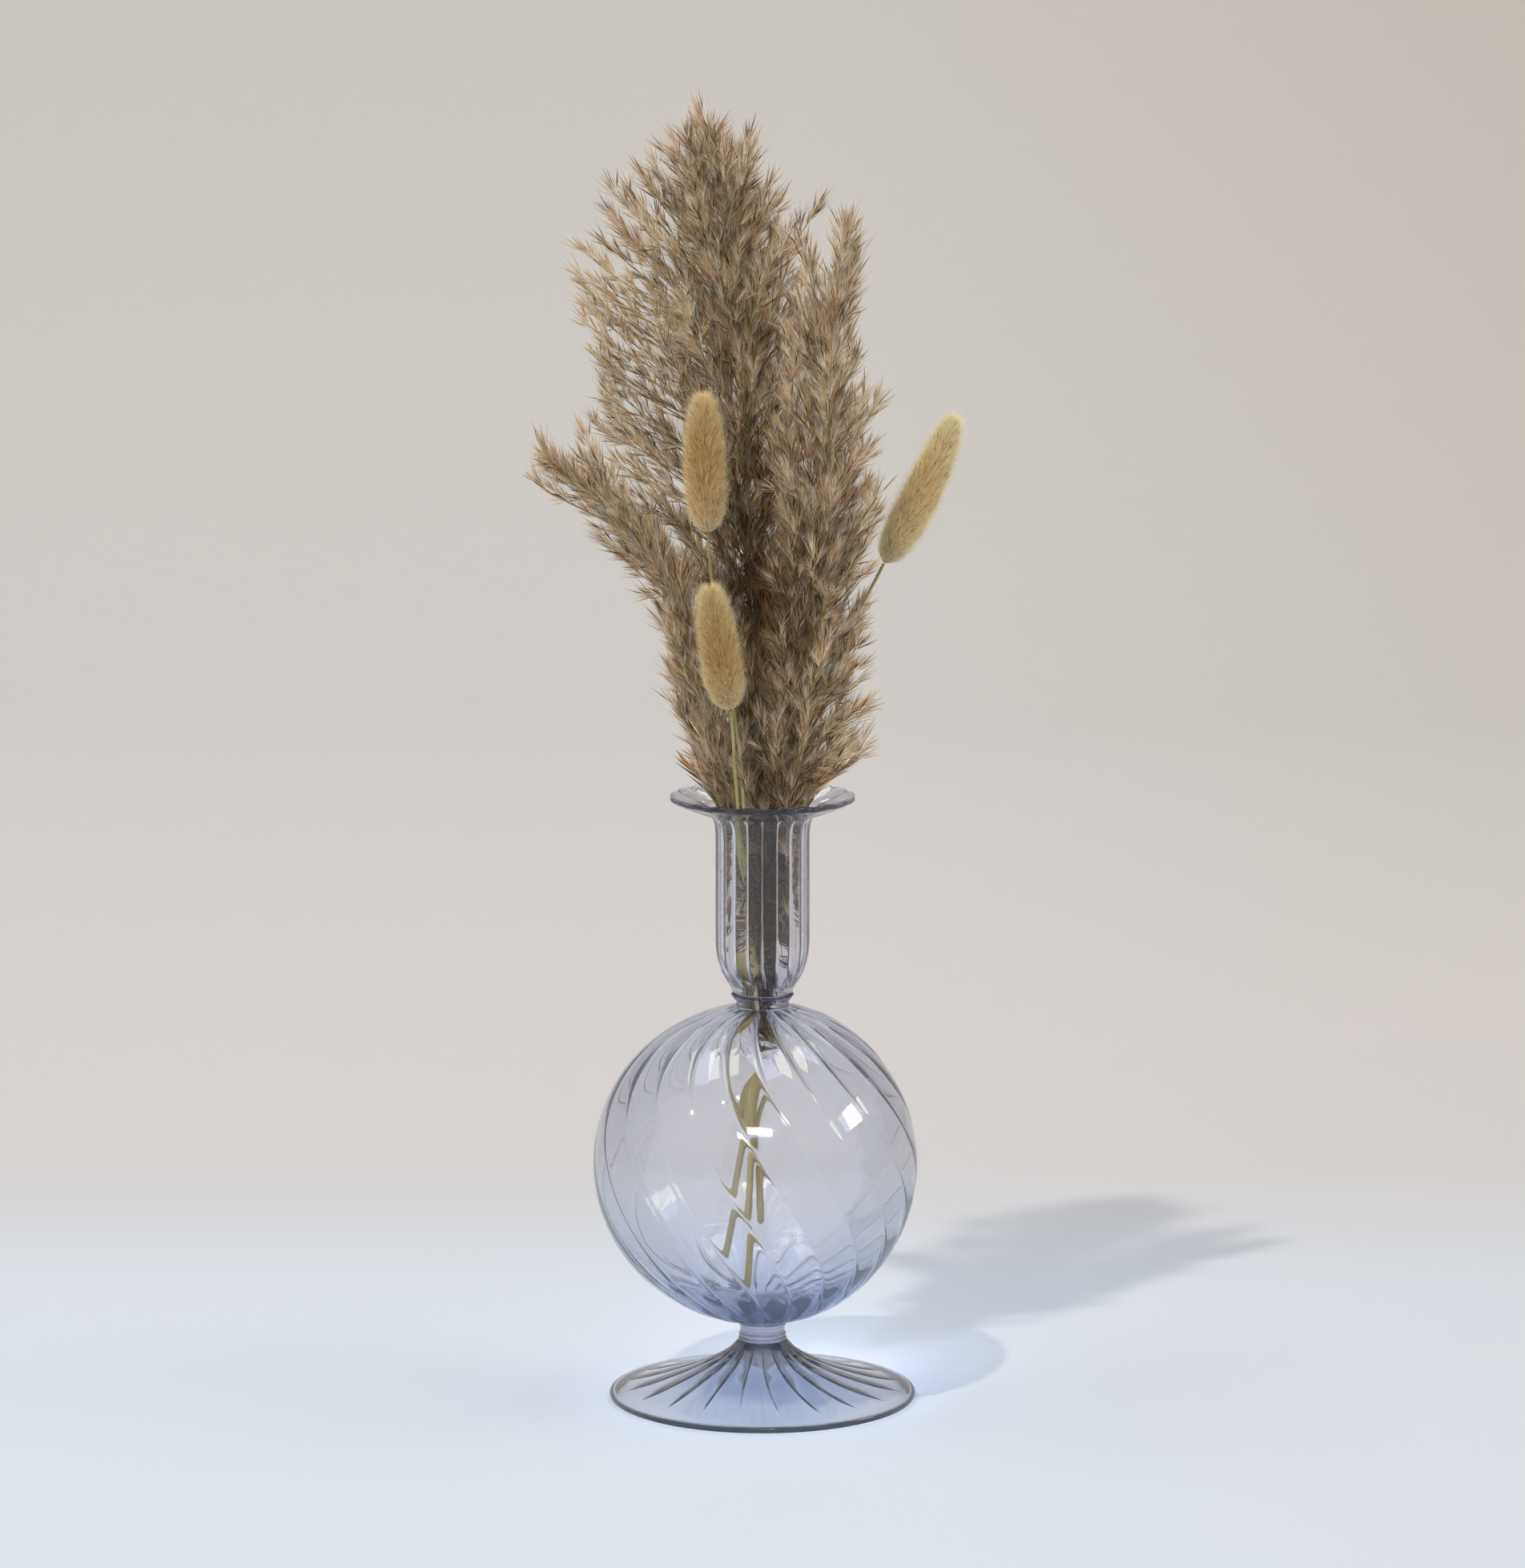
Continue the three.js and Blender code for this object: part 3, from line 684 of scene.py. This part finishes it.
def spikelet_shades(root, back, boughs, bough):
    """Material slots of the husks (0 to 2) and hairs (3 to 6). Painted shade makes them darker deep in
    the bunch and in the cup, darkest in a strip down its middle; paler outside, and a little different on
    each bough."""
    count = len(root)
    height = root[:, 2] / MM
    heart_x = np.interp(height, [170, 230, 270, 320, 380], [2, 2, -3, -8, -14])
    # painted shade: darker deep in the bunch, round heart_x and most from 215 to 260 mm up, where the plume
    # shades itself
    deep = np.interp(height, [178, 190, 215, 235, 260, 300, 380], [0.4, 0.2, 0.5, 0.9, 0.6, 0.25, 0])
    # painted shade in the cup, where the plume above shades it, darkest in a strip down the middle
    in_cup = 1 - fade(height, 164, 174)
    painted_shade_strip = np.exp(-(np.abs(gathered(root, back)[:, 0] / MM - 1.6) / 4.2) ** 4)
    inside = deep * np.exp(-((root[:, 0] / MM - heart_x) / 15) ** 2) * (1 - in_cup)
    inside += rng.normal(0, 0.16, count)
    inside += in_cup * (0.35 + 1.5 * painted_shade_strip)
    tuft = rng.normal(0, 0.12, boughs) - 0.4 * (rng.uniform(0, 1, boughs) < 0.15)
    inside += tuft[bough]
    husk = np.repeat(0.65 - inside, HUSKS) * 3 + rng.normal(0, 1.1, count * HUSKS)
    silk = np.repeat(0.85 - inside, SILKS) * 3 + rng.normal(0, 0.6, count * SILKS)
    husk = np.clip(husk, 0, 2.99).astype(int)
    silk = 3 + np.clip(silk, 0, 2.99).astype(int)
    # the darkest silk, silk_shadow, paints the shade of that strip
    silk[np.repeat(in_cup * painted_shade_strip > 0.5, SILKS)] = IN_PAINTED_SHADE
    return husk, silk


def make_plume(name, plan, shades, stem_look):
    above = spline(plan["rachis"], 3) * MM
    way = np.array(SLIDES[name])
    below = above[0] - way / way[2] * np.array([[44.0], [30], [15]]) * MM
    rachis = np.vstack([below, above])
    back = plan["back"] * MM
    boughs, bough_way = make_boughs(rachis, plan)
    twigs, twig_way, bough = make_twigs(boughs, bough_way)
    root, axis, _, twig = along_curves(twigs, twig_way, SPIKELET_SPACING, 0.2)
    axis = leaning(axis, rng.uniform(0.05, 0.5, len(axis)), any_turn(len(axis)))
    axis = unit(axis + np.array([0, 0, 0.12]))
    husks, silk = make_spikelets(root, axis)
    husk_shade, silk_shade = spikelet_shades(root, back, len(boughs), bough[twig])
    points, faces, slots = joined((*husks, np.repeat(husk_shade, 2)), (*silk, silk_shade))
    plume = make_mesh(name + "_fluff", gathered(points, back), faces, shades, slots, smooth=False)
    # the rachis, boughs and twigs that carry it: each tapers from one radius to another
    parts = []
    for lines, thick, thin, sides in ((above[None], 1.0, 0.25, 6), (boughs, 0.32, 0.12, 3),
                                      (twigs, 0.14, 0.07, 3)):
        radius = np.tile(np.linspace(thick, thin, lines.shape[1]), (len(lines), 1)) * MM
        tubes = tube_mesh(gathered(lines, back), radius, sides)
        parts.append((*tubes, np.zeros(len(tubes[1]), int)))
    points, faces, _ = joined(*parts)
    branches = make_mesh(name + "_branches", points, faces, [stem_look])
    for piece, slot in ((plume, "reed_plume"), (branches, "reed_culm")):
        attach(piece, name)
    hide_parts(name + "_plume")


def make_culm(name, look):
    """A reed's straight stem: it tapers a little and swells at its nodes."""
    low, high = (np.array(corner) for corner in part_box(name + "_culm"))
    way = np.array(SLIDES[name])
    # its lower end stands in the corner of the CAD box that it leans away from
    start = np.array([*np.where(way[:2] >= 0, low[:2] + CULM_R, high[:2] - CULM_R), low[2]])
    share = np.linspace(0, 1, 90)
    points = start + way * (share * (high[2] - low[2]) / way[2])[:, None]
    height = points[:, 2] / MM
    swell = sum(np.exp(-((height - z) / 0.9) ** 2) for z in CULM_NODES)
    radius = CULM_R * (0.96 - 0.1 * share + 0.16 * swell)
    radius[[0, -1]] *= 0.4
    culm = make_mesh(name + "_culm_round", *tube_mesh(points[None], radius[None], 12), [look])
    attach(culm, name)
    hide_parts(name + "_culm")


def make_reeds():
    # besides the fibres' own tones, the darker shades carry painted shade deep in the bunch and in the cup;
    # silk_shadow is only that
    shades = [fibre_material("husk_dark", (98, 66, 36)),
              fibre_material("husk_brown", (162, 118, 70)),
              fibre_material("husk_tan", (213, 174, 118)),
              fibre_material("silk_umber", (152, 124, 88), 0.2),
              fibre_material("silk_grey", (232, 209, 174), 0.3),
              fibre_material("silk_cream", (255, 244, 220), 0.3),
              fibre_material("silk_shadow", (100, 82, 60))]
    stem_look = stem_material("culm_straw", (112, 92, 46), (150, 132, 72), (176, 160, 100))
    for name, plan in REEDS.items():
        make_plume(name, plan, shades, stem_look)
    for name in REEDS:
        make_culm(name, stem_look)


# ============================================================================ bunny tails
# waist, lip: x, y of the stem where it passes those; foot: the height of its lower end.
# base, tip, bow: the head's two ends and how far its middle bows out; radius: of its fur.
# awns: how many long ones it has; pale: how pale its fur is, from 0 to 1.
TAILS = {
    "bunny_tail_low": {
        "waist": (-2.4, 0.2), "lip": (-7.3, -8.4), "foot": 103,
        "base": (-9.3, -14.8, 207), "tip": (-14.8, -21.4, 242), "bow": (-0.6, 0, 0),
        "radius": 6.0, "awns": 110, "pale": 0.4},
    "bunny_tail_middle": {
        "waist": (-1.6, -3.9), "lip": (-5.6, -6.9), "foot": 90,
        "base": (-15.7, -9.5, 257.8), "tip": (-17.1, -10.1, 296), "bow": (-0.4, 0, 0),
        "radius": 6.2, "awns": 110, "pale": 0.3},
    "bunny_tail_right": {
        "waist": (2.4, 4.0), "lip": (8.2, 6.6), "foot": 70,
        "base": (35.5, 14, 246.1), "tip": (55.4, 17, 286.8), "bow": (1.6, 0, -0.8),
        # its paler fur is partly its own tone and partly painted light against the shade that the plumes
        # cast on it
        "radius": 6.1, "awns": 280, "pale": 0.65},
}
WAIST_AT, LIP_AT, BEND_AT = 120, 180, 186  # heights, mm, of those places and of a tail stem's bend
HEAD_STEPS = 44


def tail_route(plan):
    """The line of a tail's stem: straight to above the lip, then one bend to the head."""
    waist, lip = np.array([*plan["waist"], WAIST_AT]), np.array([*plan["lip"], LIP_AT])
    slope = (lip - waist) / (LIP_AT - WAIST_AT)
    start = waist + slope * (plan["foot"] - WAIST_AT)
    leave = waist + slope * (BEND_AT - WAIST_AT)
    base, tip = np.array(plan["base"], float), np.array(plan["tip"], float)
    head_way = unit(tip - base)
    end = base - head_way * 0.3
    reach = np.linalg.norm(end - leave) / 3
    corners = (leave, leave + unit(slope) * reach, end - head_way * reach, end)
    bend, _ = bezier(*(corner[None] for corner in corners), 30)
    straight = start + (leave - start) * np.linspace(0, 1, 24)[:-1, None]
    return np.vstack([straight, bend[0]]) * MM


def fullness(t):
    """How wide a tail's head is along its length: egg-shaped, fuller below."""
    return (1 - np.abs(2 * np.clip(t, 0.004, 0.996) - 1) ** 2.8) ** 0.5 * (1.06 - 0.3 * t**1.3)


def make_fur(plan, spine, way, radius):
    """Fur, halo, specks and awns of a head along its spine: (points, faces, slots)."""
    def on_head(count, depth_low, depth_high):
        """Places in the fur: point, the head's direction there, outward direction, share of the length."""
        t = rng.beta(1.1, 1.1, count)
        place = t * (HEAD_STEPS - 1)
        below = np.clip(place.astype(int), 0, HEAD_STEPS - 2)
        rest = (place - below)[:, None]
        on_axis = spine[below] * (1 - rest) + spine[below + 1] * rest
        axis = unit(way[below] * (1 - rest) + way[below + 1] * rest)
        outward = leaning(axis, np.full(count, np.pi / 2), rng.uniform(0, TURN, count))
        depth = rng.uniform(depth_low, depth_high, count) * fullness(t) * radius
        return on_axis + outward * depth[:, None], axis, outward, t

    # fine hairs that lie up along the head, and stand off it at their tips
    root, axis, outward, t = on_head(FUR_HAIRS, 0.4, 0.78)
    lift = rng.uniform(0.3, 1.2, FUR_HAIRS) * (1.15 - 0.5 * t)
    hair = hair_mesh(root, unit(axis + outward * lift[:, None]),
                     rng.uniform(2.0, 4.6, FUR_HAIRS) * MM, 0.1 * MM)
    pale = plan["pale"] + 0.55 * np.abs(2 * t - 1) ** 1.6 + rng.normal(0, 0.3, FUR_HAIRS)
    shade = np.clip(pale * 3, 0, 2.99).astype(int)
    # a thin halo of pale hairs
    root, axis, outward, _ = on_head(HALO_HAIRS, 0.6, 0.85)
    lift = rng.uniform(0.8, 2.2, HALO_HAIRS)
    halo = hair_mesh(root, unit(axis + outward * lift[:, None]),
                     rng.uniform(2.6, 4.6, HALO_HAIRS) * MM, 0.06 * MM)
    # short brown husks that show between the hairs
    root, axis, outward, _ = on_head(SPECKS, 0.72, 0.9)
    husk = husk_mesh(root, unit(axis + outward * rng.uniform(0.1, 0.45, (SPECKS, 1))),
                     rng.uniform(1.4, 2.6, SPECKS) * MM, np.full(SPECKS, 0.28 * MM))
    # long awns that stand out of it
    count = plan["awns"]
    root, axis, outward, _ = on_head(count, 0.6, 0.9)
    awns = hair_mesh(root, unit(axis + outward * rng.uniform(0.2, 0.75, (count, 1))),
                     rng.uniform(5, 9.5, count) * MM, 0.1 * MM)
    return joined((*hair, shade), (*halo, np.full(HALO_HAIRS, 2)), (*husk, np.full(2 * SPECKS, 3)),
                  (*awns, np.full(count, 2)))


def make_tail(name, plan, stem_look, core_look, shades):
    route = tail_route(plan)
    thick = np.linspace(0.6, 0.45, len(route)) * MM
    thick[0] *= 0.4
    stem = make_mesh(name + "_stem_round", *tube_mesh(route[None], thick[None], 10), [stem_look])
    base, tip, bow = (np.array(plan[key], float)[None] * MM for key in ("base", "tip", "bow"))
    middle = (base + tip) / 2 + bow
    spine, way = bezier(base, base / 3 + middle * 2 / 3, tip / 3 + middle * 2 / 3, tip, HEAD_STEPS)
    radius = plan["radius"] * MM
    core_radius = fullness(np.linspace(0, 1, HEAD_STEPS)) * radius * 0.66
    core = make_mesh(name + "_core", *tube_mesh(spine, core_radius[None], 28), [core_look])
    points, faces, slots = make_fur(plan, spine[0], way[0], radius)
    fur = make_mesh(name + "_fur", points, faces, shades, slots, smooth=False)
    for piece, slot in ((stem, "tail_stem"), (core, "tail_head"), (fur, "tail_head")):
        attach(piece, name)
    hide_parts(name + "_stem")
    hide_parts(name + "_head")


def make_tails():
    stem_look = stem_material("tail_stem_straw", (138, 128, 70), (176, 164, 100), (198, 186, 130))
    core_look = stem_material("tail_core", (120, 84, 38), (176, 136, 70), (206, 170, 100), 500)
    fur = [fibre_material("fur_tan", (214, 166, 92), 0.2),
           fibre_material("fur_gold", (244, 206, 122), 0.3),
           fibre_material("fur_cream", (252, 236, 188), 0.3),
           fibre_material("fur_brown", (146, 98, 46))]
    # the right tail's fur is brighter, partly its own paler straw tone and partly painted light in lit
    # copies of the fur: it is the one that the plumes shade
    straw = [fibre_material("lit_straw_tan", (242, 196, 114), 0.2),
             fibre_material("lit_straw_gold", (255, 226, 146), 0.3),
             fibre_material("lit_straw_cream", (255, 243, 200), 0.3),
             fibre_material("lit_straw_brown", (160, 116, 60))]
    for name, plan in TAILS.items():
        make_tail(name, plan, stem_look, core_look, straw if name == "bunny_tail_right" else fur)


# ============================================================================ floor, light, camera
def make_stage():
    """One seamless sheet: a floor that sweeps up into a backdrop."""
    front, back, sweep, top, half_wide = -3.5, 2.2, 0.9, 5, 5.0
    bend = np.linspace(0, np.pi / 2, 24)
    curve = np.stack([back - sweep + sweep * np.sin(bend), sweep - sweep * np.cos(bend)], -1)
    profile = np.vstack([[(front, 0)], curve, [(back, top)]])
    points = np.array([(x, y, z) for y, z in profile for x in (-half_wide, half_wide)])
    rows = np.arange(len(profile) - 1)[:, None] * 2
    stage = make_mesh("backdrop", points, rows + np.array([[0, 1, 3, 2]]), [])
    material, nodes, links, shader, _ = new_material("backdrop_paper")
    # painted shade: its tones run along the floor and on up the wall, bluish on the floor and darker and
    # warmer higher up, where the light falls off
    place = nodes.new("ShaderNodeTexCoord")
    split = nodes.new("ShaderNodeSeparateXYZ")
    along = nodes.new("ShaderNodeMath")
    links.new(place.outputs["Object"], split.inputs[0])
    links.new(split.outputs["Y"], along.inputs[0])
    links.new(split.outputs["Z"], along.inputs[1])
    span = range_node(nodes, links, along.outputs[0], From_Min=-0.5, From_Max=3.0)
    ramp = ramp_node(nodes, links, span.outputs[0],
                     [(0.14, (0.684, 0.724, 0.765)), (0.183, (0.684, 0.716, 0.76)),
                      (0.23, (0.65, 0.62, 0.605)), (0.30, (0.68, 0.63, 0.60)),
                      (0.486, (0.69, 0.65, 0.61)), (0.943, (0.60, 0.545, 0.48))])
    # painted shade: a little darker and warmer to the right
    across = range_node(nodes, links, split.outputs["X"], From_Min=0.04, From_Max=0.5)
    shaded = nodes.new("ShaderNodeMix")
    shaded.data_type = "RGBA"
    shaded.blend_type = "MULTIPLY"
    links.new(across.outputs[0], shaded.inputs["Factor"])
    links.new(ramp.outputs[0], shaded.inputs["A"])
    shaded.inputs["B"].default_value = (0.93, 0.90, 0.87, 1)
    links.new(shaded.outputs["Result"], shader.inputs["Base Color"])
    shader.inputs["Roughness"].default_value = 0.9
    stage.data.materials.append(material)


def area_light(name, place, size, power, color, shape="RECTANGLE"):
    """A light that faces the middle of the vase and isn't seen itself."""
    data = bpy.data.lights.new(name, "AREA")
    data.shape = shape
    data.size, data.size_y = size
    data.energy = power
    data.color = color
    light = bpy.data.objects.new(name, data)
    light.location = place
    light.rotation_euler = (Vector((0, 0, 0.18)) - Vector(place)).to_track_quat("-Z", "Y").to_euler()
    light.visible_camera = False
    bpy.context.scene.collection.objects.link(light)
    return light


def make_lights():
    sun, sky, white = (1.0, 0.94, 0.86), (0.92, 0.96, 1.0), (1.0, 1.0, 1.0)
    area_light("key", (-1.17, -2.01, 3.43), (0.14, 0.14), 60, sun, "DISK")
    area_light("ceiling_left", (-1.2, 0.2, 3.5), (1.7, 0.9), 20, sky)
    area_light("ceiling_right", (1.1, 0.2, 3.5), (1.6, 0.85), 18, sky)
    # panes that only show as reflections
    panes = [area_light("window_behind", (0.05, -3.2, 2.2), (1.5, 0.35), 34, sky),
             area_light("pane_left", (-1.2, 0.2, 3.5), (1.2, 0.7), 50, sky),
             area_light("pane_right", (1.1, 0.2, 3.5), (0.9, 0.9), 44, sky),
             area_light("pane_above", (-0.1, 1.0, 3.3), (0.9, 1.7), 34, sky)]
    for pane in panes:
        pane.visible_diffuse = False
    # the last one glints only on the lip: the ball would show it too large
    under_pane = bpy.data.collections.new("under_pane")
    under_pane.objects.link(bpy.data.objects["neck_cup_glass"])
    panes[-1].light_linking.receiver_collection = under_pane
    area_light("window_right", (2.2, -0.1, 1.15), (0.8, 0.45), 6, white)
    world = bpy.data.worlds.new("soft_room")
    world.use_nodes = True
    background = world.node_tree.nodes["Background"]
    background.inputs["Color"].default_value = (0.84, 0.91, 1.0, 1)
    background.inputs["Strength"].default_value = 0.55
    bpy.context.scene.world = world


def make_camera():
    """It stands in front of the vase, a little above it, and looks down by 9 degrees."""
    data = bpy.data.cameras.new("camera")
    data.sensor_width = 36
    data.lens = 151.9
    data.clip_start = 0.05
    camera = bpy.data.objects.new("camera", data)
    camera.location = (0, -1.900, 0.490)
    camera.rotation_euler = (math.radians(90 - 9.18), 0, 0)
    bpy.context.scene.collection.objects.link(camera)
    bpy.context.scene.camera = camera


make_vase()
make_reeds()
make_tails()
make_stage()
make_lights()
make_camera()
bpy.context.scene.view_settings.view_transform = "Standard"
